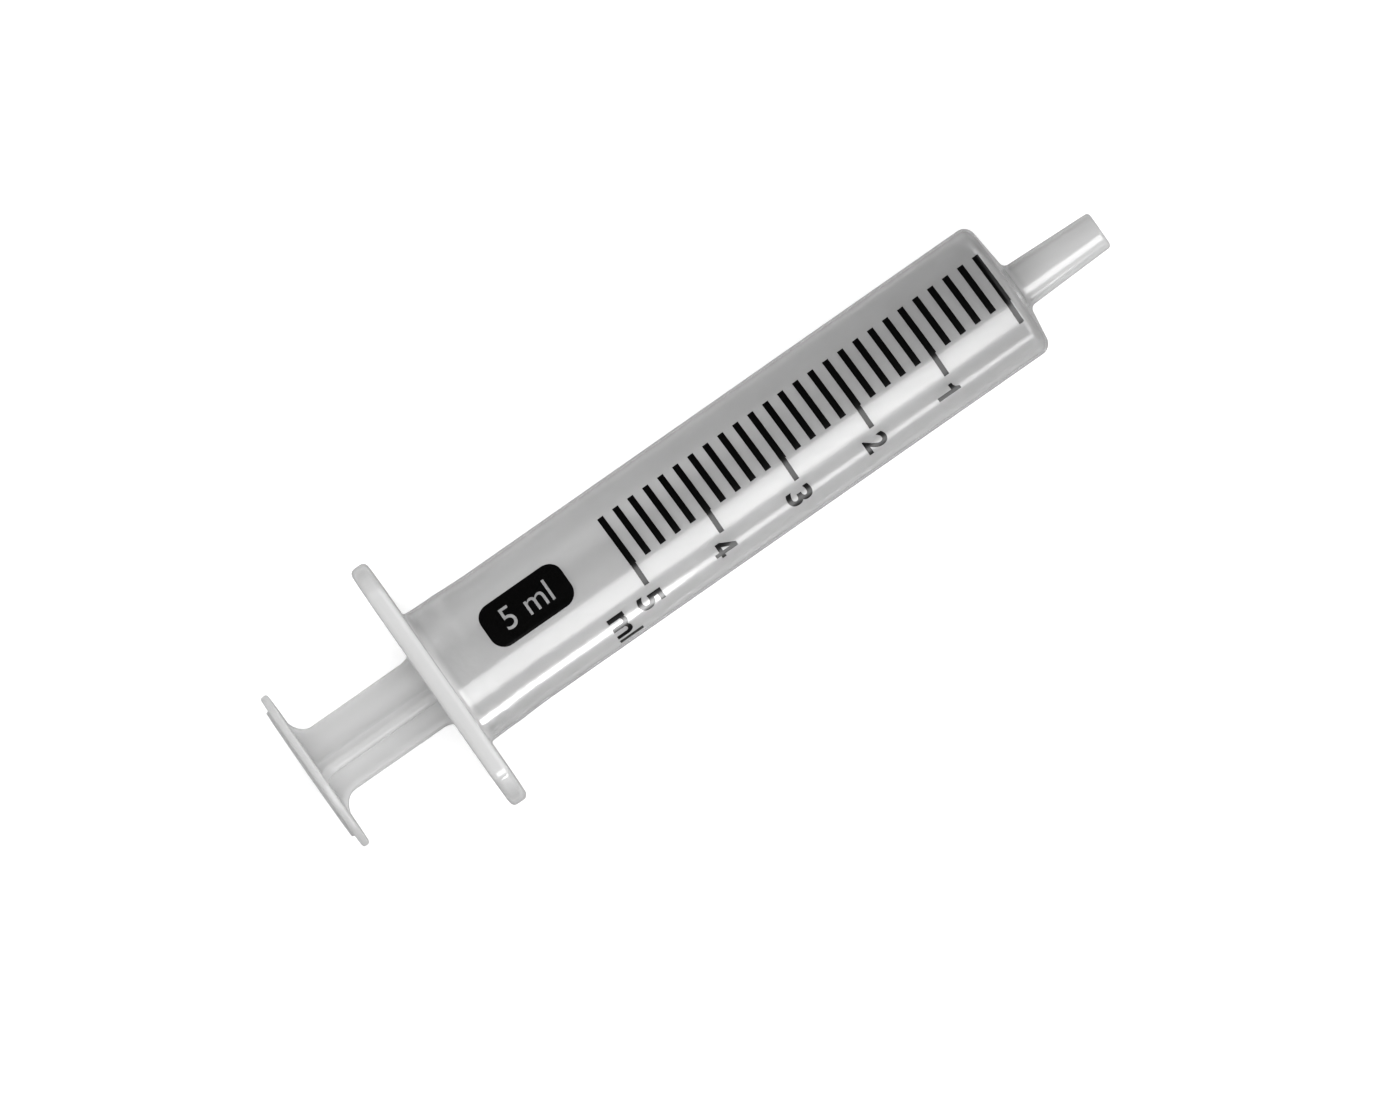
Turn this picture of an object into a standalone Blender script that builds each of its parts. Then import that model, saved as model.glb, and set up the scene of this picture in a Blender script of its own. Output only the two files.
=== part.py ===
"""Two-piece 5 ml slip-tip syringe for blood sampling, pushed closed and lying on its finger flange.

It has two mouldings: a barrel with its finger flange and slip tip, and a plunger with its thumb plate,
crossed ribs and piston head. Lengths are in metres and +Z is up.
Along the syringe, x is 0 at the flange's rear face and grows towards the tip, until the empty
syringe_axis puts the whole on the surface that it lies on, centred along its length.
"""

import math

import bmesh
import bpy

# Barrel tube
BORE_DIAMETER = 0.0121
BARREL_WALL = 0.0011
BORE_LENGTH = 0.0664
FRONT_WALL = 0.0009
FRONT_SLOPE = math.radians(7)
SHOULDER_RADIUS = 0.0012
BORE_CORNER_RADIUS = 0.0005

# Barrel mouth, with the ring that keeps the piston in
MOUTH_THICKENING = 0.0002
MOUTH_TAPER_LENGTH = 0.007
MOUTH_RELIEF = 0.00025
MOUTH_BORE_LENGTH = 0.0036
MOUTH_CHAMFER = 0.0003
RING_CATCH = 0.0001
RING_DEPTH = 0.0052
RING_WIDTH = 0.0006
RING_RAMP = 0.0008

# Finger flange. Its flats reach past the thumb plate's rim, so the syringe lies on them
FLANGE_WING_REACH = 0.0063
FLANGE_FLAT_REACH = 0.0001
FLANGE_THICKNESS = 0.00186
FLANGE_CORNER_RADIUS = 0.0015
FLANGE_EDGE_RADIUS = 0.0006
FLANGE_ROOT_FILLET = 0.0004

# Slip tip, a cone whose diameter grows by 6 mm in each 100 mm
TIP_LENGTH = 0.0096
TIP_END_DIAMETER = 0.00397
TIP_TAPER = 0.06
TIP_OFFSET = 0.0005
TIP_END_RADIUS = 0.0004
TIP_ROOT_FILLET = 0.0006
TIP_CHANNEL_DIAMETER = 0.0020

# Plunger rod
RIB_SPAN = 0.0075
RIB_THICKNESS = 0.0011
RIB_EDGE_RADIUS = 0.0003
RIB_ROOT_FILLET = 0.0004
RIB_TURN = math.radians(13)
GUIDE_DISC_DEPTH = 0.0006
GUIDE_DISC_THICKNESS = 0.001
GUIDE_FLARE = 0.0017
GUIDE_EDGE_RADIUS = 0.0002

# Thumb plate, with a ridged pad on its outer face
THUMB_PLATE_DIAMETER = 0.0173
THUMB_PLATE_THICKNESS = 0.0008
THUMB_PLATE_EDGE_RADIUS = 0.0003
THUMB_PLATE_STANDOFF = 0.01305
THUMB_FLARE_LENGTH = 0.0018
THUMB_FLARE_HEIGHT = 0.0028
PAD_INSET = 0.0014
PAD_HEIGHT = 0.0003
PAD_CHAMFER = 0.0001
PAD_RIDGES = 3
PAD_RIDGE_WIDTH = 0.0008
PAD_RIDGE_PITCH = 0.0015

# Piston head, with a sealing ring at each end of a narrower waist
PISTON_LENGTH = 0.010
SEAL_RING_WIDTH = 0.0013
SEAL_EDGE_RADIUS = 0.0003
WAIST_DEPTH = 0.0012
WAIST_RAMP = 0.0008
PISTON_FLARE = 0.001

# Clearances, and how far a fillet or flare runs into what it joins
SEAL_CLEARANCE = 0.0002
GUIDE_CLEARANCE = 0.0004
FRONT_CLEARANCE = 0.0003
ROOT_DEPTH = 0.0001

# Faces round each turned piece, and along each round of an outline
FACETS = 48
ARC_STEPS = 4
SMALL_ARC_STEPS = 2
CUT_OVERRUN = 0.001
WELD = 1e-6
SHARP_ANGLE = math.radians(35)

# Derived radii
bore_radius = BORE_DIAMETER / 2
barrel_radius = bore_radius + BARREL_WALL
mouth_radius = barrel_radius + MOUTH_THICKENING
mouth_bore_radius = bore_radius + MOUTH_RELIEF
piston_radius = bore_radius - SEAL_CLEARANCE
ring_radius = piston_radius - RING_CATCH
tip_end_radius = TIP_END_DIAMETER / 2
tip_root_radius = tip_end_radius + TIP_TAPER * TIP_LENGTH / 2
plate_radius = THUMB_PLATE_DIAMETER / 2
half_flats = plate_radius + FLANGE_FLAT_REACH

# Derived places along the axis, from the flange's rear face
front_rim = BORE_LENGTH + FRONT_WALL
tip_root = front_rim + math.tan(FRONT_SLOPE) * (barrel_radius - SHOULDER_RADIUS - tip_root_radius)
tip_end = tip_root + TIP_LENGTH
piston_rear = BORE_LENGTH - FRONT_CLEARANCE - PISTON_LENGTH
pad_face = -THUMB_PLATE_STANDOFF - THUMB_PLATE_THICKNESS - PAD_HEIGHT


def arc(centre, reach, start, end, steps=ARC_STEPS):
    """Points along an ellipse in the (x, radius) plane, from start to end degrees, both included."""
    points = []
    for step in range(steps + 1):
        angle = math.radians(start + (end - start) * step / steps)
        points.append((centre[0] + reach[0] * math.cos(angle), centre[1] + reach[1] * math.sin(angle)))
    return points


def round_arc(centre, radius, start, end, steps=ARC_STEPS):
    """The same along a circle."""
    return arc(centre, (radius, radius), start, end, steps)


def new_object(name, bm):
    """Puts a bmesh into the scene as an object, shaded smooth with its edges kept sharp."""
    bmesh.ops.recalc_face_normals(bm, faces=bm.faces)
    mesh = bpy.data.meshes.new(name)
    bm.to_mesh(mesh)
    bm.free()
    mesh.shade_smooth()
    mesh.set_sharp_from_angle(angle=SHARP_ANGLE)
    made = bpy.data.objects.new(name, mesh)
    bpy.context.scene.collection.objects.link(made)
    return made


def turned(name, outline):
    """A half section, as (x, radius) points that start and end on the axis, turned about the X axis."""
    bm = bmesh.new()
    verts = [bm.verts.new((x, 0, radius)) for x, radius in outline]
    edges = [bm.edges.new(pair) for pair in zip(verts, verts[1:])]
    bmesh.ops.spin(
        bm,
        geom=verts + edges,
        cent=(0, 0, 0),
        axis=(1, 0, 0),
        angle=math.tau,
        steps=FACETS,
        use_merge=True,
    )
    bmesh.ops.remove_doubles(bm, verts=bm.verts, dist=WELD)
    return new_object(name, bm)


def plate(name, outline, thickness, edge_radius):
    """A flat (y, z) outline given a thickness forwards from x = 0, with both its rims rounded."""
    bm = bmesh.new()
    base = bm.faces.new([bm.verts.new((0, across, up)) for across, up in outline])
    grown = bmesh.ops.extrude_face_region(bm, geom=[base], use_keep_orig=True)
    front = [item for item in grown["geom"] if isinstance(item, bmesh.types.BMVert)]
    bmesh.ops.translate(bm, verts=front, vec=(thickness, 0, 0))
    bmesh.ops.recalc_face_normals(bm, faces=bm.faces)
    rims = [edge for edge in bm.edges if abs(edge.verts[0].co.x - edge.verts[1].co.x) < WELD]
    bmesh.ops.bevel(
        bm,
        geom=rims,
        offset=edge_radius,
        segments=SMALL_ARC_STEPS,
        profile=0.5,
        affect="EDGES",
    )
    return new_object(name, bm)


def lofted(name, stations, section):
    """A skin over closed sections, one at each (x, half span) station, with both ends capped."""
    bm = bmesh.new()
    rings = []
    for x, half_span in stations:
        rings.append([bm.verts.new((x, across, up)) for across, up in section(half_span)])
    for near, far in zip(rings, rings[1:]):
        for index in range(len(near)):
            bm.faces.new((near[index - 1], near[index], far[index], far[index - 1]))
    for ring in (rings[0], rings[-1]):
        bm.faces.new(ring)
    return new_object(name, bm)


def combine(target, tool, operation):
    """Joins a tool to the target, or cuts it away, and hides the tool."""
    modifier = target.modifiers.new(f"{operation.lower()} {tool.name}", "BOOLEAN")
    modifier.operation = operation
    modifier.object = tool
    tool.hide_render = True
    tool.display_type = "WIRE"
    tool.parent = target


def plastic(name, colour, roughness, transmission):
    made = bpy.data.materials.new(name)
    made.use_nodes = True
    shader = made.node_tree.nodes["Principled BSDF"]
    shader.inputs["Base Color"].default_value = (*colour, 1)
    shader.inputs["Roughness"].default_value = roughness
    shader.inputs["Metallic"].default_value = 0
    shader.inputs["Transmission Weight"].default_value = transmission
    return made


def tube_outline():
    """The outside of the tube and its front. It starts inside the flange, which hides its end."""
    fillet = (FLANGE_THICKNESS - ROOT_DEPTH + FLANGE_ROOT_FILLET, mouth_radius + FLANGE_ROOT_FILLET)
    shoulder = (front_rim - SHOULDER_RADIUS, barrel_radius - SHOULDER_RADIUS)
    return [
        (FLANGE_THICKNESS / 2, 0),
        (FLANGE_THICKNESS / 2, fillet[1]),
        *round_arc(fillet, FLANGE_ROOT_FILLET, 180, 270),
        (FLANGE_THICKNESS + MOUTH_TAPER_LENGTH, barrel_radius),
        *round_arc(shoulder, SHOULDER_RADIUS, 90, math.degrees(FRONT_SLOPE)),
        (front_rim + math.tan(FRONT_SLOPE) * shoulder[1], 0),
    ]


def tip_outline():
    """The slip tip and the fillet at its root. It starts inside the front wall."""
    half_taper = math.degrees(math.atan(TIP_TAPER / 2))
    fillet = (tip_root - ROOT_DEPTH + TIP_ROOT_FILLET, tip_root_radius + TIP_ROOT_FILLET)
    end = (tip_end - TIP_END_RADIUS, tip_end_radius - TIP_END_RADIUS)
    return [
        (front_rim - FRONT_WALL / 2, 0),
        (front_rim - FRONT_WALL / 2, fillet[1]),
        *round_arc(fillet, TIP_ROOT_FILLET, 180, 270 - half_taper),
        *round_arc(end, TIP_END_RADIUS, 90 - half_taper, 0),
        (tip_end, 0),
    ]


def bore_outline():
    """The space inside the tube: mouth, retaining ring, bore and the inside of the front wall."""
    corner = (BORE_LENGTH - BORE_CORNER_RADIUS, bore_radius - BORE_CORNER_RADIUS)
    ring_end = RING_DEPTH + RING_WIDTH
    return [
        (-CUT_OVERRUN, 0),
        (-CUT_OVERRUN, mouth_bore_radius + MOUTH_CHAMFER),
        (0, mouth_bore_radius + MOUTH_CHAMFER),
        (MOUTH_CHAMFER, mouth_bore_radius),
        (MOUTH_BORE_LENGTH, mouth_bore_radius),
        (RING_DEPTH - RING_RAMP, bore_radius),
        (RING_DEPTH, ring_radius),
        (ring_end, ring_radius),
        (ring_end + RING_RAMP, bore_radius),
        *round_arc(corner, BORE_CORNER_RADIUS, 90, math.degrees(FRONT_SLOPE)),
        (BORE_LENGTH + math.tan(FRONT_SLOPE) * corner[1], 0),
    ]


def channel_outline():
    """The straight hole through the tip, from inside the bore."""
    start = BORE_LENGTH - CUT_OVERRUN
    end = tip_end + CUT_OVERRUN
    radius = TIP_CHANNEL_DIAMETER / 2
    return [(start, 0), (start, radius), (end, radius), (end, 0)]


def flange_outline():
    """A disc with its two sides cut flat and its corners rounded."""
    disc_radius = mouth_radius + FLANGE_WING_REACH
    corner_height = half_flats - FLANGE_CORNER_RADIUS
    corner_reach = math.sqrt((disc_radius - FLANGE_CORNER_RADIUS) ** 2 - corner_height**2)
    meets_disc = math.degrees(math.atan2(corner_height, corner_reach))
    quarter = round_arc((0, 0), disc_radius, 0, meets_disc, 2 * ARC_STEPS)
    quarter += round_arc((corner_reach, corner_height), FLANGE_CORNER_RADIUS, meets_disc, 90)[1:]
    upper = quarter + [(-across, up) for across, up in reversed(quarter)]
    return upper + [(across, -up) for across, up in reversed(upper[1:-1])]


def make_barrel(finish):
    """The finger flange, the tube and the slip tip, moulded in one."""
    barrel = plate("barrel", flange_outline(), FLANGE_THICKNESS, FLANGE_EDGE_RADIUS)
    tip = turned("slip_tip", tip_outline())
    channel = turned("tip_channel", channel_outline())
    for piece in (tip, channel):
        piece.location.y = -TIP_OFFSET
    combine(barrel, turned("tube", tube_outline()), "UNION")
    combine(barrel, tip, "UNION")
    combine(barrel, turned("bore", bore_outline()), "DIFFERENCE")
    combine(barrel, channel, "DIFFERENCE")
    barrel.data.materials.append(finish)
    return barrel


def thumb_plate_outline():
    """The thumb plate's half section, from its inner face back to the ridges of its pad."""
    edge = THUMB_PLATE_EDGE_RADIUS
    back = -THUMB_PLATE_THICKNESS
    top = back - PAD_HEIGHT
    pad_radius = plate_radius - PAD_INSET
    outline = [(0, 0)]
    outline += round_arc((-edge, plate_radius - edge), edge, 0, 90, SMALL_ARC_STEPS)
    outline += round_arc((back + edge, plate_radius - edge), edge, 90, 180, SMALL_ARC_STEPS)
    for ridge in range(PAD_RIDGES):
        outer = pad_radius - ridge * PAD_RIDGE_PITCH
        inner = outer - PAD_RIDGE_WIDTH
        outline += [(back, outer), (top, outer - PAD_CHAMFER), (top, inner + PAD_CHAMFER), (back, inner)]
    button = pad_radius - PAD_RIDGES * PAD_RIDGE_PITCH
    return outline + [(back, button), (top, button - PAD_CHAMFER), (top, 0)]


def guide_disc_outline(rear):
    """The disc that steadies the rod in the barrel's mouth."""
    radius = mouth_bore_radius - GUIDE_CLEARANCE
    front = rear + GUIDE_DISC_THICKNESS
    edge = GUIDE_EDGE_RADIUS
    return [
        (rear, 0),
        *round_arc((rear + edge, radius - edge), edge, 180, 90, SMALL_ARC_STEPS),
        *round_arc((front - edge, radius - edge), edge, 90, 0, SMALL_ARC_STEPS),
        (front, 0),
    ]


def piston_outline(rear):
    """The piston head's half section: rear ring, waist, front ring and a nose that fits the barrel's front."""
    front = rear + PISTON_LENGTH
    waist = piston_radius - WAIST_DEPTH
    edge = SEAL_EDGE_RADIUS
    nose = (front - edge, piston_radius - edge)
    return [
        (rear, 0),
        *round_arc((rear + edge, piston_radius - edge), edge, 180, 90, SMALL_ARC_STEPS),
        (rear + SEAL_RING_WIDTH, piston_radius),
        (rear + SEAL_RING_WIDTH + WAIST_RAMP, waist),
        (front - SEAL_RING_WIDTH - WAIST_RAMP, waist),
        (front - SEAL_RING_WIDTH, piston_radius),
        *round_arc(nose, edge, 90, math.degrees(FRONT_SLOPE), SMALL_ARC_STEPS),
        (front + math.tan(FRONT_SLOPE) * nose[1], 0),
    ]


def rod_section(half_span):
    """The rod's section, a cross with rounded ends and a fillet in each of its inner corners."""
    side = RIB_THICKNESS / 2
    root = side + RIB_ROOT_FILLET
    end = half_span - RIB_EDGE_RADIUS
    flat = side - RIB_EDGE_RADIUS
    arm = [
        *round_arc((root, -root), RIB_ROOT_FILLET, 180, 90, SMALL_ARC_STEPS),
        *round_arc((end, -flat), RIB_EDGE_RADIUS, -90, 0, SMALL_ARC_STEPS),
        *round_arc((end, flat), RIB_EDGE_RADIUS, 0, 90, SMALL_ARC_STEPS),
    ]
    section = []
    for turn in range(4):
        section += arm
        arm = [(-up, across) for across, up in arm]
    return section


def rod_stations(guide_rear, head_rear):
    """Where the rod's half span changes: it flares into the thumb plate, the guide disc and the head."""
    half = RIB_SPAN / 2
    plate_flare = (THUMB_FLARE_LENGTH - ROOT_DEPTH, half + THUMB_FLARE_HEIGHT)
    guide_flare_rear = (guide_rear + ROOT_DEPTH - GUIDE_FLARE, half + GUIDE_FLARE)
    guide_flare_front = (guide_rear + GUIDE_DISC_THICKNESS - ROOT_DEPTH + GUIDE_FLARE, half + GUIDE_FLARE)
    head_flare = (head_rear + ROOT_DEPTH - PISTON_FLARE, half + PISTON_FLARE)
    return [
        (-THUMB_PLATE_THICKNESS / 2, plate_flare[1]),
        *arc(plate_flare, (THUMB_FLARE_LENGTH, THUMB_FLARE_HEIGHT), 180, 270),
        *round_arc(guide_flare_rear, GUIDE_FLARE, 270, 360),
        *round_arc(guide_flare_front, GUIDE_FLARE, 180, 270),
        *round_arc(head_flare, PISTON_FLARE, 270, 360),
        (head_rear + SEAL_RING_WIDTH, head_flare[1]),
    ]


def make_plunger(finish):
    """The thumb plate, the crossed ribs, the guide disc and the piston head, moulded in one.

    It is modelled from the thumb plate's inner face and placed by that face.
    """
    guide_rear = THUMB_PLATE_STANDOFF + GUIDE_DISC_DEPTH
    head_rear = THUMB_PLATE_STANDOFF + piston_rear
    plunger = lofted("plunger", rod_stations(guide_rear, head_rear), rod_section)
    combine(plunger, turned("thumb_plate", thumb_plate_outline()), "UNION")
    combine(plunger, turned("guide_disc", guide_disc_outline(guide_rear)), "UNION")
    combine(plunger, turned("piston_head", piston_outline(head_rear)), "UNION")
    plunger.data.materials.append(finish)
    plunger.location.x = -THUMB_PLATE_STANDOFF
    plunger.rotation_euler.x = RIB_TURN
    return plunger


def main():
    for leftover in list(bpy.data.objects):
        bpy.data.objects.remove(leftover)
    axis = bpy.data.objects.new("syringe_axis", None)
    axis.location = (-(tip_end + pad_face) / 2, 0, half_flats)
    bpy.context.scene.collection.objects.link(axis)
    make_barrel(plastic("natural_polypropylene", (0.50, 0.50, 0.50), 0.3, 0.4)).parent = axis
    make_plunger(plastic("natural_polyethylene", (0.62, 0.62, 0.62), 0.35, 0.2)).parent = axis


main()
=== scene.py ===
import math

import bmesh
import bpy
from mathutils import Matrix, Vector
from mathutils.geometry import interpolate_bezier


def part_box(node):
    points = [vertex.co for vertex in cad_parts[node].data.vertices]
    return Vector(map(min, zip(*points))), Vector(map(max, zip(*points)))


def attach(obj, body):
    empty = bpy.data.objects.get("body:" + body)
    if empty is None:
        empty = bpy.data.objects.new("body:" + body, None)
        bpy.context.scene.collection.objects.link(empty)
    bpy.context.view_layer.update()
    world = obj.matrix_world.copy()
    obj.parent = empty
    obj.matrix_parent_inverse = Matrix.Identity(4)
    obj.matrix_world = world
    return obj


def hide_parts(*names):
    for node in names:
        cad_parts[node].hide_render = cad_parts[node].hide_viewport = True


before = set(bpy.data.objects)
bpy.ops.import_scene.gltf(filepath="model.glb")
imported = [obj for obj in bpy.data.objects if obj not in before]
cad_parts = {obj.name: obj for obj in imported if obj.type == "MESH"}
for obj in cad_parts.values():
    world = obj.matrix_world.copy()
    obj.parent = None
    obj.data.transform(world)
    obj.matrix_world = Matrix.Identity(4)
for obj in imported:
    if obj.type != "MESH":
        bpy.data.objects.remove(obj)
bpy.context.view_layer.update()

# Where the syringe lies: its axis runs along +X, and s is millimetres from the flange's rear face
MM = 0.001
barrel_low, barrel_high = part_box("barrel")
rear_face = barrel_low.x
axis_height = (barrel_low.z + barrel_high.z) / 2

# Barrel, in millimetres as moulded, with its slopes in degrees
BORE_RADIUS = 6.05
BORE_LENGTH = 66.4
BARREL_RADIUS = 7.15
MOUTH_RADIUS = 7.35
MOUTH_TAPER_END = 8.86
FRONT_RIM = 67.3
FRONT_SLOPE = 7
SHOULDER_RADIUS = 1.2
BORE_CORNER_RADIUS = 0.5
MOUTH_BORE_RADIUS = 6.3
MOUTH_BORE_LENGTH = 3.6
MOUTH_CHAMFER = 0.3
CATCH_RADIUS = 5.75
CATCH_START = 5.2
CATCH_WIDTH = 0.6
CATCH_RAMP = 0.8
# The outside swells over the catch, too slightly for the solids to have it
CATCH_SWELL = 0.035
# The rings that follow the mouth's taper and the swell
MOUTH_FIRST_RING = 2.8
MOUTH_LAST_RING = 9
MOUTH_RING_STEP = 0.2
SHOULDER_STEPS = 10

# Finger flange, and the steps that each stretch of a quarter of its outline is drawn in
WING_RADIUS = 13.65
FLAT_HEIGHT = 8.75
FLANGE_CORNER_RADIUS = 1.5
FLANGE_THICKNESS = 1.86
FLANGE_EDGE_RADIUS = 0.6
FLANGE_ROOT_FILLET = 0.4
FLAT_STEPS = 24
CORNER_STEPS = 8
WING_STEPS = 18

# Slip tip, with the slope of its side in whole degrees
TIP_END = (barrel_high.x - rear_face) / MM
TIP_END_RADIUS = 1.985
TIP_ROOT_RADIUS = 2.273
TIP_SLOPE = 2
TIP_EDGE_RADIUS = 0.4
TIP_ROOT_FILLET = 0.6
TIP_OFFSET = 0.5
CHANNEL_RADIUS = 1.0
CHANNEL_CHAMFER = 0.12

# Plunger, in millimetres from the thumb plate's inner face
PLATE_STANDOFF = 13.05
PLATE_RADIUS = 8.65
PLATE_THICKNESS = 0.8
PLATE_EDGE_RADIUS = 0.3
PAD_RADIUS = 7.25
PAD_HEIGHT = 0.3
PAD_EDGE = 0.1
PAD_GROOVES = 3
PAD_RIDGE_WIDTH = 0.8
PAD_RIDGE_PITCH = 1.5
RIB_HALF_SPAN = 3.75
RIB_HALF_THICKNESS = 0.55
# Rounder than in the solids, for the thin highlight along the rib
RIB_EDGE_RADIUS = 0.5
RIB_ROOT_FILLET = 0.4
# The points along a rib's side lie closer together near its root
RIB_SIDE_STEPS = 6
RIB_SIDE_SPREAD = 1.6
RIB_TURN = math.radians(13)
PLATE_FLARE_LENGTH = 1.8
PLATE_FLARE_HEIGHT = 2.8
FLARE_SINK = 0.1
DISC_REAR = 13.65
DISC_THICKNESS = 1.0
DISC_RADIUS = 5.9
DISC_EDGE_RADIUS = 0.2
DISC_FLARE = 1.7
HEAD_REAR = 69.15
HEAD_LENGTH = 10.0
HEAD_RADIUS = 5.85
HEAD_EDGE_RADIUS = 0.3
HEAD_FLARE = 1.0
SEAL_WIDTH = 1.3
WAIST_RADIUS = 4.65
WAIST_RAMP = 0.8

# Printing on the barrel, in millimetres along it and degrees round it, towards -Y from the top
ZERO_LINE = 66.15
LINE_PITCH = 1.7382
# How far the lines and their tails lean, in degrees
LINE_LEAN = 1.4
TAIL_LEAN = 0.7
LINE_COUNT = 26
LINES_PER_ML = 5
LINE_WIDTH = 0.675
TAIL_WIDTH = 0.54
LINE_START = -36.2
LINE_END = 9.4
TAIL_END = 29.6
NUMERAL_CENTRE = 44.0
NUMERAL_WIDTH = 1.95
# The height of each figure from 1 to 5, and how far it lies past its line, towards the flange
NUMERAL_HEIGHTS = (2.5, 2.4, 2.68, 2.45, 2.75)
NUMERAL_DROPS = (0.83, 0.52, 0.69, 0.67, 0.6)
ONE_CENTRE = 42.6
ONE_WIDTH = 1.24
UNIT_CENTRE = 18.75
UNIT_ANGLE = 53.0
UNIT_HEIGHT = 2.65
UNIT_WIDTH = 4.2
FIELD_CENTRE = 12.1
FIELD_ANGLE = -11.6
FIELD_LENGTH = 9.3
FIELD_WIDTH = 4.7
FIELD_CORNER = 1.5
FIELD_WORDS_LENGTH = 5.4
FIELD_WORDS_HEIGHT = 2.3
FILM_SINK = 0.01
FILM_THICKNESS = 0.022
BEND_STEP = 0.25
STRIP_POINTS_ACROSS = 5
STRIP_POINTS_ALONG = 24
INK_BOLDNESS = 0.09
# The mitre of a corner made bolder stops growing where 1 + cos(turn) falls below this
SHARPEST_MITRE = 0.5
LETTER_CURVE_POINTS = 7
SAME_POINT = 1e-4
# Figures drawn for a height of 1: the 1 has a flag, and the 4 an outline and the clear triangle in it
FIGURES = {
    1: [[(0.46, 0), (0.46, 1), (0.32, 1), (0.24, 0.86), (0.14, 0.80), (0, 0.78), (0, 0.62), (0.26, 0.64), (0.26, 0)]],
    4: [
        [
            *((0.36, 0), (0.53, 0), (0.53, 0.20), (0.66, 0.20), (0.66, 0.38), (0.53, 0.38)),
            *((0.53, 1), (0.33, 1), (0, 0.40), (0, 0.20), (0.36, 0.20)),
        ],
        [(0.36, 0.38), (0.36, 0.70), (0.19, 0.38)],
    ],
}

# Patterns, in marks to the metre: 400 is one every 2.5 mm. The depth is in metres
FLOW_WAVES = (110, 400, 400)
TUBE_CLOUDS = 170.0
TUBE_SCUFFS = 2500.0
MOUTH_RIPPLES = 900.0
PLUNGER_CLOUDS = 200.0
PLUNGER_GRAIN = 3000.0
SCREEN_MARKS = 6000.0
BUMP_DEPTH = 0.00001

# Where the looks change, in millimetres: along the barrel, and out from the plunger's axis
# The painted light that makes the tube paler towards the mouth: full up to the first, gone past the second
PAINTED_LIGHT_FULL = 16
PAINTED_LIGHT_GONE = 32
RIPPLES_FULL = 3
RIPPLES_GONE = 14
FLANGE_BLEND_WITHIN = 0.2
FLANGE_BLEND_PAST = 0.9
TIP_BLEND = 1.5
# Painted light in the valleys between the plunger's ribs: full within the first distance from the axis, gone past the
# second
VALLEY_LIGHT_FULL = 1.0
VALLEY_LIGHT_GONE = 3.4
# How much of the tube's tone is cloudiness, and not the painted light that makes the mouth paler
CLOUD_SHARE = 0.4
# How many times as deep as the waves the ripples are at the mouth
RIPPLE_STRENGTH = 9.0

# Studio, in metres and degrees. Lamps and cards stand round this point of the axis
LIT_POINT = Vector((-0.005, 0, axis_height))
SIDE_STEP = Vector((0.018, 0, 0))
FORWARD_STEP = Vector((0.15, 0, 0))
FLOOR_REACH = 3
TUNNEL_RADIUS = 0.8
TUNNEL_SIDE = 90.5
TUNNEL_STEPS = 24
TUNNEL_ENDS = (-0.9, 0.16)
TUNNEL_FLOOR = 0.0004
GREY_CARD_REACH = 0.022

# The photo's width in pixels and its scale, the millimetres at its middle, and its turn in degrees
PHOTO_WIDTH = 1379
PIXELS_PER_MM = 10.5
PHOTO_MIDDLE = (-4.05, -3.56)
PHOTO_TURN = 34.92
# A long lens, in millimetres, for a view that is nearly parallel
LENS = 900
SENSOR_WIDTH = 36

ARC_STEPS = 6
TINY_ARC_STEPS = 3
SMALL_ARC_STEPS = 4
LONG_ARC_STEPS = 8
SHARP_ANGLE = math.radians(38)


def place(s, across, up):
    """A point of the syringe in metres."""
    return Vector((rear_face + s * MM, across * MM, axis_height + up * MM))


def arc(centre, reach, start, end, steps=ARC_STEPS):
    """Points (s, radius) round an ellipse, from start to end degrees, both included."""
    points = []
    for step in range(steps + 1):
        angle = math.radians(start + (end - start) * step / steps)
        points.append((centre[0] + reach[0] * math.cos(angle), centre[1] + reach[1] * math.sin(angle)))
    return points


def round_arc(centre, radius, start, end, steps=ARC_STEPS):
    """Points (s, radius) round a circle, from start to end degrees, both included."""
    return arc(centre, (radius, radius), start, end, steps)


def linked(name, data):
    """A new object in the scene."""
    made = bpy.data.objects.new(name, data)
    bpy.context.scene.collection.objects.link(made)
    return made


def skin(name, rings, closed_loop):
    """A smooth mesh over rings of points. A closed loop joins its last ring to its first, and a ring of
    one point is a pole."""
    bm = bmesh.new()
    rows = [[bm.verts.new(point) for point in ring] for ring in rings]
    pairs = list(zip(rows, rows[1:]))
    if closed_loop:
        pairs.append((rows[-1], rows[0]))
    for near, far in pairs:
        for index in range(max(len(near), len(far))):
            corners = [
                near[(index - 1) % len(near)],
                near[index % len(near)],
                far[index % len(far)],
                far[(index - 1) % len(far)],
            ]
            bm.faces.new(list(dict.fromkeys(corners)))
    return finished(name, bm)


def finished(name, bm):
    """Turns a bmesh into an object at the origin, with its faces outwards and its edges kept sharp."""
    bmesh.ops.recalc_face_normals(bm, faces=bm.faces)
    mesh = bpy.data.meshes.new(name)
    bm.to_mesh(mesh)
    bm.free()
    mesh.shade_smooth()
    mesh.set_sharp_from_angle(angle=SHARP_ANGLE)
    return linked(name, mesh)


# The flange's outline has a flat above and below, a disc at both wings, and a round between them
corner_up = FLAT_HEIGHT - FLANGE_CORNER_RADIUS
corner_across = math.sqrt((WING_RADIUS - FLANGE_CORNER_RADIUS) ** 2 - corner_up**2)
flat_meets_corner = math.atan2(corner_across, FLAT_HEIGHT)
corner_meets_disc = math.atan2(corner_across, corner_up)


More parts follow.
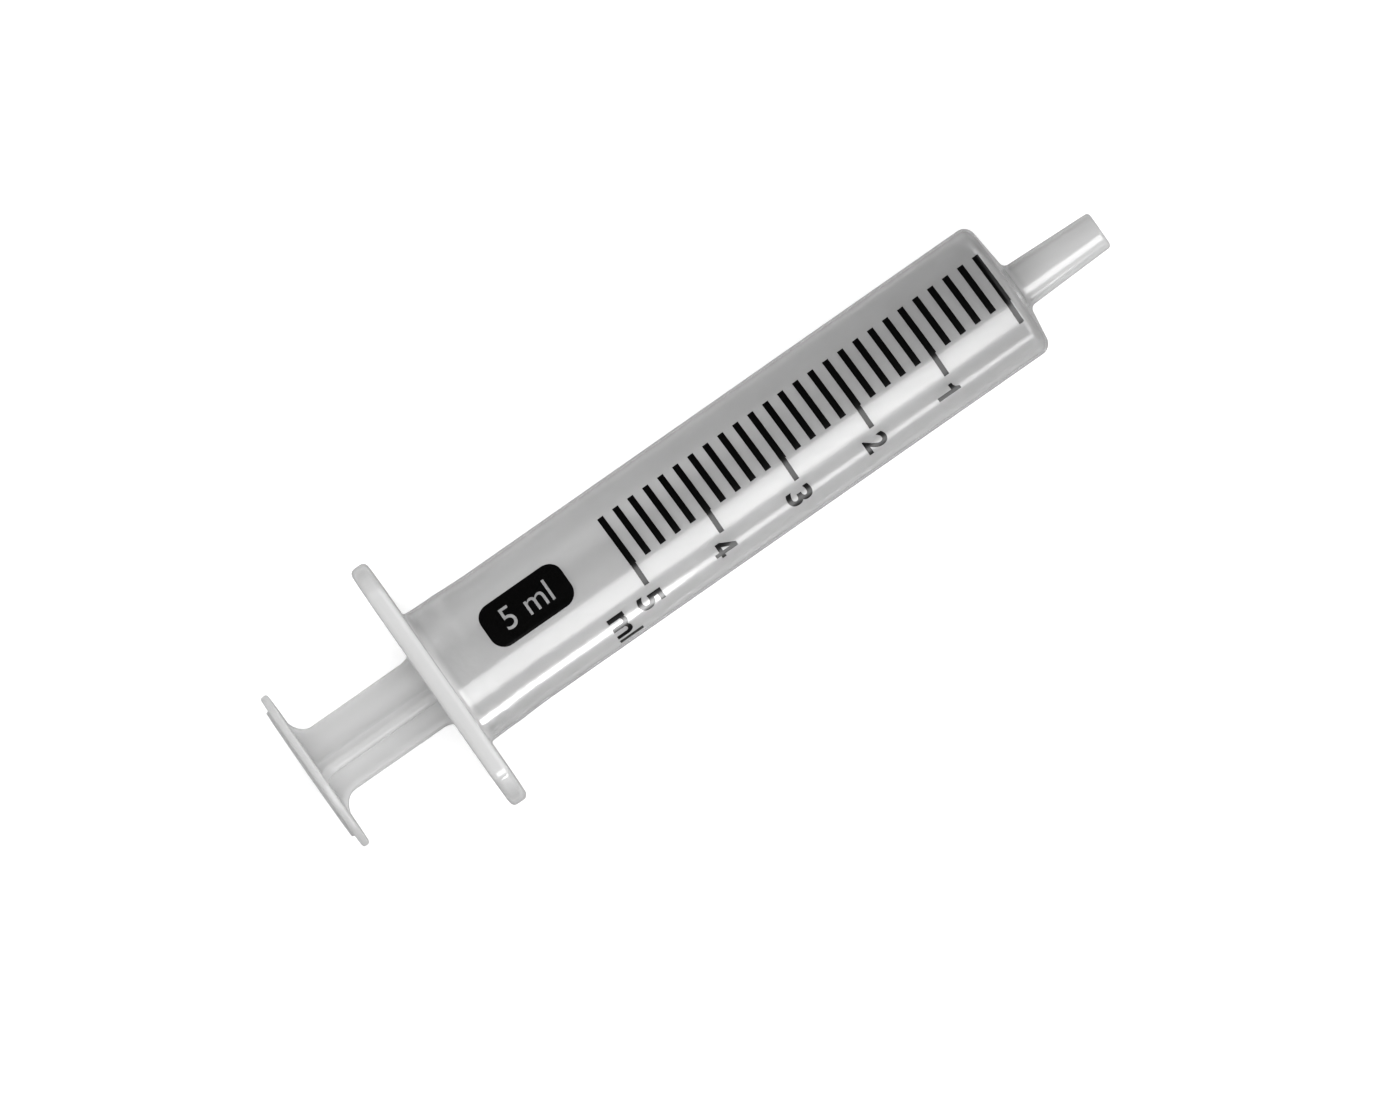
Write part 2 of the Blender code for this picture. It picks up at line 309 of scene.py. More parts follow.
def angles_round():
    """Angles from the top towards -Y for the points of each ring, closest at the flange's corners."""
    quarter = []
    stretches = (
        (0, flat_meets_corner, FLAT_STEPS),
        (flat_meets_corner, corner_meets_disc, CORNER_STEPS),
        (corner_meets_disc, math.pi / 2, WING_STEPS),
    )
    for start, end, steps in stretches:
        quarter += [start + (end - start) * step / steps for step in range(steps)]
    half = quarter + [math.pi / 2] + [math.pi - angle for angle in reversed(quarter[1:])]
    return half + [math.pi + angle for angle in half]


RING_ANGLES = angles_round()


def flange_reach(inset):
    """How far the flange's outline lies from the axis at each angle, drawn in by an inset."""
    reaches = []
    for angle in RING_ANGLES:
        across, up = abs(math.sin(angle)), abs(math.cos(angle))
        from_top = math.atan2(across, up)
        along = corner_across * across + corner_up * up
        off = corner_across**2 + corner_up**2 - along**2
        corner = (FLANGE_CORNER_RADIUS - inset) ** 2 - off
        if from_top >= corner_meets_disc:
            reaches.append(WING_RADIUS - inset)
        elif (FLAT_HEIGHT - inset) * across <= corner_across * up or corner < 0:
            reaches.append((FLAT_HEIGHT - inset) / up)
        else:
            reaches.append(along + math.sqrt(corner))
    return reaches


def barrel_ring(s, reach, shift=0.0):
    """One ring of the barrel. The reach is a radius, or a list with one for each angle."""
    reaches = reach if isinstance(reach, list) else [reach] * len(RING_ANGLES)
    return [
        place(s, -shift - radius * math.sin(angle), radius * math.cos(angle))
        for angle, radius in zip(RING_ANGLES, reaches)
    ]


def barrel_surface(s):
    """The barrel's outer radius, with its wider mouth, the swell over the catch and the shoulder."""
    radius = BARREL_RADIUS + (MOUTH_RADIUS - BARREL_RADIUS) * max(
        0, (MOUTH_TAPER_END - s) / (MOUTH_TAPER_END - FLANGE_THICKNESS)
    )
    from_catch = (s - CATCH_START - CATCH_WIDTH / 2) / CATCH_RAMP
    radius += CATCH_SWELL * math.exp(-from_catch * from_catch)
    past = max(0, s - (FRONT_RIM - SHOULDER_RADIUS))
    return radius - SHOULDER_RADIUS + math.sqrt(SHOULDER_RADIUS**2 - min(past, SHOULDER_RADIUS) ** 2)


def make_barrel():
    """Flange, tube, shoulder, slip tip, channel, bore, catch and mouth in one closed skin."""
    edge = FLANGE_EDGE_RADIUS
    rings = []
    for s, inset in round_arc((edge, edge), edge, 180, 270):
        rings.append(barrel_ring(s, flange_reach(inset)))
    for s, inset in round_arc((FLANGE_THICKNESS - edge, edge), edge, 270, 360):
        rings.append(barrel_ring(s, flange_reach(inset)))

    # From the flange's root along the tube to the shoulder
    fillet = (FLANGE_THICKNESS + FLANGE_ROOT_FILLET, MOUTH_RADIUS + FLANGE_ROOT_FILLET)
    outside = round_arc(fillet, FLANGE_ROOT_FILLET, 180, 270)
    s = MOUTH_FIRST_RING
    while s < MOUTH_LAST_RING:
        outside.append((s, barrel_surface(s)))
        s += MOUTH_RING_STEP
    shoulder = (FRONT_RIM - SHOULDER_RADIUS, BARREL_RADIUS - SHOULDER_RADIUS)
    outside += round_arc(shoulder, SHOULDER_RADIUS, 90, FRONT_SLOPE, SHOULDER_STEPS)
    rings += [barrel_ring(s, radius) for s, radius in outside]

    # Over the slip tip and back through its channel
    slope = math.radians(FRONT_SLOPE)
    root_radius = TIP_ROOT_RADIUS + TIP_ROOT_FILLET
    root_s = FRONT_RIM + math.tan(slope) * (shoulder[1] - root_radius) + TIP_ROOT_FILLET / math.cos(slope)
    tip = round_arc((root_s, root_radius), TIP_ROOT_FILLET, 180 + FRONT_SLOPE, 270 - TIP_SLOPE)
    end = (TIP_END - TIP_EDGE_RADIUS, TIP_END_RADIUS - TIP_EDGE_RADIUS)
    tip += round_arc(end, TIP_EDGE_RADIUS, 90 - TIP_SLOPE, 0)
    tip += [(TIP_END, CHANNEL_RADIUS + CHANNEL_CHAMFER), (TIP_END - CHANNEL_CHAMFER, CHANNEL_RADIUS)]
    corner = (BORE_LENGTH - BORE_CORNER_RADIUS, BORE_RADIUS - BORE_CORNER_RADIUS)
    tip.append((BORE_LENGTH + math.tan(slope) * (corner[1] - CHANNEL_RADIUS), CHANNEL_RADIUS))
    rings += [barrel_ring(s, radius, TIP_OFFSET) for s, radius in tip]

    # Back along the bore, over the catch and out of the mouth
    catch_end = CATCH_START + CATCH_WIDTH
    inside = [
        *round_arc(corner, BORE_CORNER_RADIUS, FRONT_SLOPE, 90),
        (catch_end + CATCH_RAMP, BORE_RADIUS),
        (catch_end, CATCH_RADIUS),
        (CATCH_START, CATCH_RADIUS),
        (CATCH_START - CATCH_RAMP, BORE_RADIUS),
        (MOUTH_BORE_LENGTH, MOUTH_BORE_RADIUS),
        (MOUTH_CHAMFER, MOUTH_BORE_RADIUS),
        (0, MOUTH_BORE_RADIUS + MOUTH_CHAMFER),
    ]
    rings += [barrel_ring(s, radius) for s, radius in inside]
    return skin("barrel_moulding", rings, closed_loop=True)


def rod_section(half_span):
    """Points round the crossed ribs, the same number in the same order for every span."""
    side = RIB_HALF_THICKNESS
    root = side + RIB_ROOT_FILLET
    end = half_span - RIB_EDGE_RADIUS
    flat = side - RIB_EDGE_RADIUS
    spread = [(step / RIB_SIDE_STEPS) ** RIB_SIDE_SPREAD for step in range(1, RIB_SIDE_STEPS)]
    along_side = [root + (end - root) * share for share in spread]
    arm = [
        *round_arc((root, -root), RIB_ROOT_FILLET, 180, 90),
        *[(reach, -side) for reach in along_side],
        *round_arc((end, -flat), RIB_EDGE_RADIUS, -90, 0, SMALL_ARC_STEPS),
        (half_span, 0),
        *round_arc((end, flat), RIB_EDGE_RADIUS, 0, 90, SMALL_ARC_STEPS),
        *[(reach, side) for reach in reversed(along_side)],
    ]
    section = []
    for turn in range(4):
        section += arm
        arm = [(-up, across) for across, up in arm]
    return section


SECTION_ANGLES = [math.atan2(up, across) for across, up in rod_section(RIB_HALF_SPAN)]


def plunger_ring(t, points):
    """One ring of the plunger, turned as its ribs lie. Its points are from the rod's own middle."""
    turned = []
    for across, up in points:
        y = across * math.cos(RIB_TURN) - up * math.sin(RIB_TURN)
        z = across * math.sin(RIB_TURN) + up * math.cos(RIB_TURN)
        turned.append(place(t - PLATE_STANDOFF, y, z))
    return turned


def round_ring(t, radius):
    """A round ring of the plunger, or its pole where the radius is nothing."""
    if radius == 0:
        return plunger_ring(t, [(0, 0)])
    return plunger_ring(t, [(radius * math.cos(angle), radius * math.sin(angle)) for angle in SECTION_ANGLES])


def make_plunger():
    """Thumb plate, crossed ribs, guide disc and piston head in one closed skin."""
    # The thumb plate, from the middle of its pad over the ridges and round its edge
    back = -PLATE_THICKNESS
    pad = back - PAD_HEIGHT
    plate = [(pad, 0)]
    button = PAD_RADIUS - PAD_GROOVES * PAD_RIDGE_PITCH
    plate += [(pad, button - PAD_EDGE), (back, button)]
    for ridge in reversed(range(PAD_GROOVES)):
        outer = PAD_RADIUS - ridge * PAD_RIDGE_PITCH
        inner = outer - PAD_RIDGE_WIDTH
        plate += [(back, inner), (pad, inner + PAD_EDGE), (pad, outer - PAD_EDGE), (back, outer)]
    edge = PLATE_EDGE_RADIUS
    plate += round_arc((back + edge, PLATE_RADIUS - edge), edge, 180, 90, SMALL_ARC_STEPS)
    plate += round_arc((-edge, PLATE_RADIUS - edge), edge, 90, 0, SMALL_ARC_STEPS)
    rings = [round_ring(t, radius) for t, radius in plate]

    # The ribs from the plate's flare to the guide disc
    flare_centre = (PLATE_FLARE_LENGTH - FLARE_SINK, RIB_HALF_SPAN + PLATE_FLARE_HEIGHT)
    leaves = 180 + math.degrees(math.acos(flare_centre[0] / PLATE_FLARE_LENGTH))
    flares = arc(flare_centre, (PLATE_FLARE_LENGTH, PLATE_FLARE_HEIGHT), leaves, 270, LONG_ARC_STEPS)
    meets = math.degrees(math.acos((DISC_FLARE - FLARE_SINK) / DISC_FLARE))
    disc_rear = (DISC_REAR + FLARE_SINK - DISC_FLARE, RIB_HALF_SPAN + DISC_FLARE)
    disc_front = (DISC_REAR + DISC_THICKNESS - FLARE_SINK + DISC_FLARE, RIB_HALF_SPAN + DISC_FLARE)
    flares += round_arc(disc_rear, DISC_FLARE, 270, 360 - meets)
    rings += [plunger_ring(t, rod_section(half_span)) for t, half_span in flares]

    # The guide disc
    edge = DISC_EDGE_RADIUS
    front = DISC_REAR + DISC_THICKNESS
    disc = round_arc((DISC_REAR + edge, DISC_RADIUS - edge), edge, 180, 90, TINY_ARC_STEPS)
    disc += round_arc((front - edge, DISC_RADIUS - edge), edge, 90, 0, TINY_ARC_STEPS)
    rings += [round_ring(t, radius) for t, radius in disc]

    # The ribs from the guide disc to the piston head
    meets_head = math.degrees(math.acos((HEAD_FLARE - FLARE_SINK) / HEAD_FLARE))
    head_flare = (HEAD_REAR + FLARE_SINK - HEAD_FLARE, RIB_HALF_SPAN + HEAD_FLARE)
    flares = round_arc(disc_front, DISC_FLARE, 180 + meets, 270)
    flares += round_arc(head_flare, HEAD_FLARE, 270, 360 - meets_head)
    rings += [plunger_ring(t, rod_section(half_span)) for t, half_span in flares]

    # The piston head: two sealing rings with a waist between them, and the nose
    edge = HEAD_EDGE_RADIUS
    front = HEAD_REAR + HEAD_LENGTH
    nose = (front - edge, HEAD_RADIUS - edge)
    head = [
        *round_arc((HEAD_REAR + edge, HEAD_RADIUS - edge), edge, 180, 90, SMALL_ARC_STEPS),
        (HEAD_REAR + SEAL_WIDTH, HEAD_RADIUS),
        (HEAD_REAR + SEAL_WIDTH + WAIST_RAMP, WAIST_RADIUS),
        (front - SEAL_WIDTH - WAIST_RAMP, WAIST_RADIUS),
        (front - SEAL_WIDTH, HEAD_RADIUS),
        *round_arc(nose, edge, 90, FRONT_SLOPE, SMALL_ARC_STEPS),
        (front + math.tan(math.radians(FRONT_SLOPE)) * nose[1], 0),
    ]
    rings += [round_ring(t, radius) for t, radius in head]
    return skin("plunger_moulding", rings, closed_loop=False)


def add_node(tree, kind, inputs=None, **settings):
    """Adds a node with its settings. An input is a value, or the socket that feeds it."""
    node = tree.nodes.new(kind)
    for name, value in settings.items():
        setattr(node, name, value)
    for socket, value in (inputs or {}).items():
        if isinstance(value, bpy.types.NodeSocket):
            tree.links.new(value, node.inputs[socket])
        else:
            node.inputs[socket].default_value = value
    return node


def linear(hex_colour):
    """An sRGB hex colour as linear red, green, blue and alpha."""
    channels = []
    for start in (1, 3, 5):
        value = int(hex_colour[start : start + 2], 16) / 255
        channels.append(value / 12.92 if value <= 0.04045 else ((value + 0.055) / 1.055) ** 2.4)
    return (*channels, 1.0)


def new_material(name):
    """A material, and its empty node tree."""
    made = bpy.data.materials.new(name)
    made.use_nodes = True
    made.node_tree.nodes.clear()
    return made, made.node_tree


def natural_polypropylene():
    """Natural polypropylene, injection moulded in a polished cavity: milky, glossy and faintly wavy."""
    made, tree = new_material("natural_polypropylene_moulded")
    where = add_node(tree, "ShaderNodeTexCoord")
    # The melt flows along the tube: waves about 9 mm long and 2.5 mm wide
    flow = add_node(tree, "ShaderNodeMapping", {"Vector": where.outputs["Object"], "Scale": FLOW_WAVES})
    waves = add_node(tree, "ShaderNodeTexNoise", {"Vector": flow.outputs[0], "Scale": 1.0, "Detail": 2.0})
    # Cloudiness where the plastic crystallised at different rates, about 6 mm across
    cloud = add_node(
        tree,
        "ShaderNodeTexNoise",
        {"Vector": where.outputs["Object"], "Scale": TUBE_CLOUDS, "Detail": 3.0},
    )
    # Painted light: the tube is painted paler towards the mouth, for the brighter light that falls there. The wall is
    #     # the same all along the stretch where the tone changes, so this is only a look
    along = add_node(tree, "ShaderNodeSeparateXYZ", {0: where.outputs["Object"]})
    painted_light_towards_mouth = add_node(
        tree,
        "ShaderNodeMapRange",
        {
            "Value": along.outputs["X"],
            "From Min": rear_face + PAINTED_LIGHT_GONE * MM,
            "From Max": rear_face + PAINTED_LIGHT_FULL * MM,
            "To Max": 1 - CLOUD_SHARE,
        },
        interpolation_type="SMOOTHSTEP",
    )
    # Random cloudiness, plus the painted light towards the mouth
    cloud_and_painted_light = add_node(
        tree,
        "ShaderNodeMath",
        {0: cloud.outputs["Fac"], 1: CLOUD_SHARE, 2: painted_light_towards_mouth.outputs["Result"]},
        operation="MULTIPLY_ADD",
    )
    thin = add_node(
        tree,
        "ShaderNodeMix",
        {"Factor": cloud_and_painted_light.outputs[0], "A": linear("#CDCDCD"), "B": linear("#D8D8D8")},
        data_type="RGBA",
    )
    # The flange is thicker than the tube's wall, and the tip is narrow: both look whiter and less clear
    flange = add_node(
        tree,
        "ShaderNodeMapRange",
        {
            "Value": along.outputs["X"],
            "From Min": rear_face + (FLANGE_THICKNESS + FLANGE_BLEND_PAST) * MM,
            "From Max": rear_face + (FLANGE_THICKNESS - FLANGE_BLEND_WITHIN) * MM,
        },
        interpolation_type="SMOOTHSTEP",
    )
    tip = add_node(
        tree,
        "ShaderNodeMapRange",
        {
            "Value": along.outputs["X"],
            "From Min": rear_face + FRONT_RIM * MM,
            "From Max": rear_face + (FRONT_RIM + TIP_BLEND) * MM,
        },
        interpolation_type="SMOOTHSTEP",
    )
    whiter = add_node(
        tree,
        "ShaderNodeMath",
        {0: flange.outputs["Result"], 1: tip.outputs["Result"]},
        operation="MAXIMUM",
    )
    tint = add_node(
        tree,
        "ShaderNodeMix",
        {"Factor": whiter.outputs[0], "A": thin.outputs["Result"], "B": linear("#D6D6D6")},
        data_type="RGBA",
    )
    clearness = add_node(
        tree,
        "ShaderNodeMapRange",
        {"Value": whiter.outputs[0], "To Min": 0.6, "To Max": 0.2},
    )
    # Fine scuffs about 0.4 mm across vary the gloss
    scuffs = add_node(
        tree,
        "ShaderNodeTexNoise",
        {"Vector": where.outputs["Object"], "Scale": TUBE_SCUFFS, "Detail": 2.0},
    )
    gloss = add_node(
        tree,
        "ShaderNodeMapRange",
        {"Value": scuffs.outputs["Fac"], "To Min": 0.18, "To Max": 0.26},
    )
    # The highlight is ragged near the mouth, perhaps from a gate there: ripples about 1 mm across fade out
    ripples = add_node(
        tree,
        "ShaderNodeTexNoise",
        {"Vector": where.outputs["Object"], "Scale": MOUTH_RIPPLES},
    )
    near_mouth = add_node(
        tree,
        "ShaderNodeMapRange",
        {
            "Value": along.outputs["X"],
            "From Min": rear_face + RIPPLES_GONE * MM,
            "From Max": rear_face + RIPPLES_FULL * MM,
            "To Max": RIPPLE_STRENGTH,
        },
    )
    relief = add_node(
        tree,
        "ShaderNodeMath",
        {0: ripples.outputs["Fac"], 1: near_mouth.outputs["Result"], 2: waves.outputs["Fac"]},
        operation="MULTIPLY_ADD",
    )
    bump = add_node(
        tree,
        "ShaderNodeBump",
        {"Height": relief.outputs[0], "Strength": 0.4, "Distance": BUMP_DEPTH},
    )
    shader = add_node(
        tree,
        "ShaderNodeBsdfPrincipled",
        {
            "Base Color": tint.outputs["Result"],
            "Roughness": gloss.outputs["Result"],
            "Normal": bump.outputs["Normal"],
            "IOR": 1.49,
            "Transmission Weight": clearness.outputs["Result"],
            "Subsurface Weight": 0.3,
            "Subsurface Radius": (1.0, 1.0, 1.0),
            "Subsurface Scale": 0.0015,
            "Coat Weight": 1.0,
            "Coat Roughness": 0.14,
            "Coat Normal": bump.outputs["Normal"],
        },
    )
    add_node(tree, "ShaderNodeOutputMaterial", {"Surface": shader.outputs[0]})
    return made


def natural_polyethylene():
    """Natural high-density polyethylene, injection moulded: whiter, milkier and more satin."""
    made, tree = new_material("natural_polyethylene_moulded")
    where = add_node(tree, "ShaderNodeTexCoord")
    # Cloudiness about 5 mm across
    cloud = add_node(
        tree,
        "ShaderNodeTexNoise",
        {"Vector": where.outputs["Object"], "Scale": PLUNGER_CLOUDS, "Detail": 3.0},
    )
    thin = add_node(
        tree,
        "ShaderNodeMix",
        {"Factor": cloud.outputs["Fac"], "A": linear("#B8B8B8"), "B": linear("#C6C6C6")},
        data_type="RGBA",
    )
    # Painted light: the rod is painted lighter near its axis, down in the valleys between the ribs, to offset the
    # shade that falls there
    section = add_node(
        tree,
        "ShaderNodeVectorMath",
        {0: where.outputs["Object"], 1: (0, 1, 1)},
        operation="MULTIPLY",
    )
    from_axis = add_node(
        tree,
        "ShaderNodeVectorMath",
        {0: section.outputs[0], 1: (0, 0, axis_height)},
        operation="DISTANCE",
    )
    root = add_node(
        tree,
        "ShaderNodeMapRange",
        {"Value": from_axis.outputs["Value"], "From Min": VALLEY_LIGHT_GONE * MM, "From Max": VALLEY_LIGHT_FULL * MM},
        interpolation_type="SMOOTHSTEP",
    )
    # The ribs' own tone, painted lighter in the valleys between them
    tint = add_node(
        tree,
        "ShaderNodeMix",
        {"Factor": root.outputs["Result"], "A": thin.outputs["Result"], "B": linear("#D4D4D4")},
        data_type="RGBA",
    )
    # Grain about 0.3 mm across varies the gloss and the surface
    grain = add_node(
        tree,
        "ShaderNodeTexNoise",
        {"Vector": where.outputs["Object"], "Scale": PLUNGER_GRAIN, "Detail": 2.0},
    )
    gloss = add_node(
        tree,
        "ShaderNodeMapRange",
        {"Value": grain.outputs["Fac"], "To Min": 0.29, "To Max": 0.38},
    )
    bump = add_node(
        tree,
        "ShaderNodeBump",
        {"Height": grain.outputs["Fac"], "Strength": 0.2, "Distance": BUMP_DEPTH},
    )
    shader = add_node(
        tree,
        "ShaderNodeBsdfPrincipled",
        {
            "Base Color": tint.outputs["Result"],
            "Roughness": gloss.outputs["Result"],
            "Normal": bump.outputs["Normal"],
            "IOR": 1.54,
            "Transmission Weight": 0.1,
            "Subsurface Weight": 0.9,
            "Subsurface Radius": (1.0, 1.0, 1.0),
            "Subsurface Scale": 0.003,
        },
    )
    add_node(tree, "ShaderNodeOutputMaterial", {"Surface": shader.outputs[0]})
    return made


def printing_ink():
    """Black screen-printing ink, cured: nearly opaque, with a dull gloss that varies a little."""
    made, tree = new_material("screen_printing_ink")
    where = add_node(tree, "ShaderNodeTexCoord")
    # The screen's mesh leaves a pattern about 0.17 mm across
    mesh_marks = add_node(
        tree,
        "ShaderNodeTexNoise",
        {"Vector": where.outputs["Object"], "Scale": SCREEN_MARKS, "Detail": 2.0},
    )
    tint = add_node(
        tree,
        "ShaderNodeMix",
        {"Factor": mesh_marks.outputs["Fac"], "A": linear("#020202"), "B": linear("#080808")},
        data_type="RGBA",
    )
    gloss = add_node(
        tree,
        "ShaderNodeMapRange",
        {"Value": mesh_marks.outputs["Fac"], "To Min": 0.14, "To Max": 0.22},
    )
    shader = add_node(
        tree,
        "ShaderNodeBsdfPrincipled",
        {"Base Color": tint.outputs["Result"], "Roughness": gloss.outputs["Result"], "IOR": 1.46},
    )
    add_node(tree, "ShaderNodeOutputMaterial", {"Surface": shader.outputs[0]})
    return made


def scale_line_tree(ink):
    """Geometry Nodes: a flat line at each step of the scale, and a tail on each whole millilitre."""
    tree = bpy.data.node_groups.new("scale_lines", "GeometryNodeTree")
    degree = math.radians(1) * BARREL_RADIUS
    sizes = {
        "Last Line": ZERO_LINE - LINE_PITCH * (LINE_COUNT - 1),
        "Pitch": LINE_PITCH,
        "Line Width": LINE_WIDTH,
        "Line Length": (LINE_END - LINE_START) * degree,
        "Line Middle": (LINE_END + LINE_START) / 2 * degree,
        "Tail Width": TAIL_WIDTH,
        "Tail Length": (TAIL_END - LINE_END) * degree,
        "Tail Middle": (TAIL_END + LINE_END) / 2 * degree,
        "Film Thickness": FILM_THICKNESS,
        "Line Lean": -math.radians(LINE_LEAN),
        "Tail Lean": math.radians(TAIL_LEAN),
    }
    for name in sizes:
        tree.interface.new_socket(name, in_out="INPUT", socket_type="NodeSocketFloat")
    tree.interface.new_socket("Lines", in_out="INPUT", socket_type="NodeSocketInt")
    tree.interface.new_socket("Geometry", in_out="OUTPUT", socket_type="NodeSocketGeometry")
    given = add_node(tree, "NodeGroupInput").outputs

    first = add_node(tree, "ShaderNodeCombineXYZ", {"X": given["Last Line"]})
    pitch = add_node(tree, "ShaderNodeCombineXYZ", {"X": given["Pitch"]})
    steps = add_node(
        tree,
        "GeometryNodeMeshLine",
        {"Count": given["Lines"], "Start Location": first.outputs[0], "Offset": pitch.outputs[0]},
        mode="OFFSET",
    )
    index = add_node(tree, "GeometryNodeInputIndex")
    remainder = add_node(tree, "ShaderNodeMath", {0: index.outputs[0], 1: LINES_PER_ML}, operation="MODULO")
    whole = add_node(tree, "ShaderNodeMath", {0: remainder.outputs[0], 1: 0.5}, operation="LESS_THAN")
    joined = add_node(tree, "GeometryNodeJoinGeometry")
    for part, chosen in (("Line", {}), ("Tail", {"Selection": whole.outputs[0]})):
        size = add_node(
            tree,
            "ShaderNodeCombineXYZ",
            {"X": given[f"{part} Width"], "Y": given[f"{part} Length"], "Z": given["Film Thickness"]},
        )
        strip = add_node(
            tree,
            "GeometryNodeMeshCube",
            {
                "Size": size.outputs[0],
                "Vertices X": STRIP_POINTS_ACROSS,
                "Vertices Y": STRIP_POINTS_ALONG,
                "Vertices Z": 2,
            },
        )
        middle = add_node(tree, "ShaderNodeCombineXYZ", {"Y": given[f"{part} Middle"]})
        moved = add_node(
            tree,
            "GeometryNodeTransform",
            {"Geometry": strip.outputs["Mesh"], "Translation": middle.outputs[0]},
        )
        lean = add_node(tree, "ShaderNodeCombineXYZ", {"Z": given[f"{part} Lean"]})
        repeated = add_node(
            tree,
            "GeometryNodeInstanceOnPoints",
            {"Points": steps.outputs[0], "Instance": moved.outputs[0], "Rotation": lean.outputs[0], **chosen},
        )
        tree.links.new(repeated.outputs[0], joined.inputs[0])
    real = add_node(tree, "GeometryNodeRealizeInstances", {"Geometry": joined.outputs[0]})
    inked = add_node(tree, "GeometryNodeSetMaterial", {"Geometry": real.outputs[0], "Material": ink})
    add_node(tree, "NodeGroupOutput", {"Geometry": inked.outputs[0]})
    return tree, {**sizes, "Lines": LINE_COUNT}


def bend_onto_barrel(points):
    """Bends a flat print onto the barrel: x along it, y round it from the top towards -Y, z outwards."""
    for point in points:
        along, around, height = point.co
        radius = barrel_surface(along) + height - FILM_SINK
        turn = around / BARREL_RADIUS
        point.co = place(along, -radius * math.sin(turn), radius * math.cos(turn))


def plain_mesh(holder):
    """The mesh that an object comes to with its modifiers. The object itself goes."""
    bpy.context.view_layer.update()
    seen = holder.evaluated_get(bpy.context.evaluated_depsgraph_get())
    mesh = bpy.data.meshes.new_from_object(seen)
    bpy.data.objects.remove(holder)
    return mesh


def make_scale_lines(ink):
    """The scale's lines as one plain mesh."""
    tree, sizes = scale_line_tree(ink)
    holder = linked("scale_line_maker", bpy.data.meshes.new("scale_line_maker"))
    modifier = holder.modifiers.new("scale lines", "NODES")
    modifier.node_group = tree
    for item in tree.interface.items_tree:
        if item.in_out == "INPUT":
            modifier[item.identifier] = sizes[item.name]
    mesh = plain_mesh(holder)
    mesh.name = "scale_lines"
    for vert in mesh.vertices:
        vert.co.z += FILM_THICKNESS / 2
    bend_onto_barrel(mesh.vertices)
    return linked("scale_lines", mesh)


def words_outlines(words):
    """The outlines of lettering as points. Holes run the other way round than the outlines they are in."""
    text = bpy.data.curves.new("words", "FONT")
    text.body = words
    holder = linked("words", text)
    bpy.context.view_layer.update()
    graph = bpy.context.evaluated_depsgraph_get()
    outlines = []
    for spline in holder.evaluated_get(graph).to_curve(graph).splines:
        knots = spline.bezier_points
        outline = []
        for index, knot in enumerate(knots):
            onward = knots[(index + 1) % len(knots)]
            bend = (knot.co, knot.handle_right, onward.handle_left, onward.co)
            for point in interpolate_bezier(*bend, LETTER_CURVE_POINTS)[:-1]:
                if not outline or (point.xy - outline[-1]).length > SAME_POINT:
                    outline.append(point.xy)
        outlines.append(outline)
    bpy.data.objects.remove(holder)
    return outlines


def fitted(outlines, length, height, boldness=0.0):
    """Outlines centred and scaled to a length and a height in millimetres, and then made bolder."""
    points = [point for outline in outlines for point in outline]
    low = Vector((min(x for x, y in points), min(y for x, y in points)))
    high = Vector((max(x for x, y in points), max(y for x, y in points)))
    scale = Vector(((length - 2 * boldness) / (high.x - low.x), (height - 2 * boldness) / (high.y - low.y)))
    middle = (low + high) / 2
    sized = [[(Vector(point) - middle) * scale for point in outline] for outline in outlines]
    return bolder(sized, boldness) if boldness else sized


def bolder(outlines, growth):
    """Moves every side of the outlines away from the ink's middle."""
    # The longest outline is no hole, so the way that it runs tells which side is outwards
    longest = max(outlines, key=len)
    area = sum(longest[index - 1].cross(point) for index, point in enumerate(longest))
    growth = math.copysign(growth, area)
    grown = []
    for outline in outlines:
        moved = []
        for index, point in enumerate(outline):
            into = (point - outline[index - 1]).normalized()
            onward = (outline[(index + 1) % len(outline)] - point).normalized()
            outwards = Vector((into.y + onward.y, -into.x - onward.x))
            moved.append(point + outwards * growth / max(SHARPEST_MITRE, 1 + into.dot(onward)))
        grown.append(moved)
    return grown


def flat_curve(outlines):
    """A filled flat curve from outlines. One inside another is a hole."""
    curve = bpy.data.curves.new("flat_print", "CURVE")
    curve.dimensions = "2D"
    curve.fill_mode = "BOTH"
    for outline in outlines:
        spline = curve.splines.new("POLY")
        spline.points.add(len(outline) - 1)
        spline.use_cyclic_u = True
        for point, (x, y) in zip(spline.points, outline):
            point.co = (x, y, 0, 1)
    return curve


def print_on_barrel(name, outline, s, angle, ink, reads_along=False):
    """Makes a film of ink from a flat curve and bends it onto the barrel. It reads round it, or along."""
    flat = plain_mesh(linked("flat_print", outline))
    bm = bmesh.new()
    bm.from_mesh(flat)
    bpy.data.meshes.remove(flat)
    middle = math.radians(angle) * BARREL_RADIUS
    for vert in bm.verts:
        x, y, z = vert.co
        vert.co = (s + x, middle - y, 0) if reads_along else (s + y, middle + x, 0)
    bmesh.ops.remove_doubles(bm, verts=bm.verts, dist=SAME_POINT)
    reach = [vert.co.y for vert in bm.verts]
    cut = min(reach) + BEND_STEP
    while cut < max(reach):
        bmesh.ops.bisect_plane(
            bm,
            geom=[*bm.verts, *bm.edges, *bm.faces],
            plane_co=(0, cut, 0),
            plane_no=(0, 1, 0),
        )
        cut += BEND_STEP
    grown = bmesh.ops.extrude_face_region(bm, geom=bm.faces[:], use_keep_orig=True)
    upper = [item for item in grown["geom"] if isinstance(item, bmesh.types.BMVert)]
    bmesh.ops.translate(bm, verts=upper, vec=(0, 0, FILM_THICKNESS))
    bend_onto_barrel(bm.verts)
    made = finished(name, bm)
    made.data.materials.append(ink)
    return made


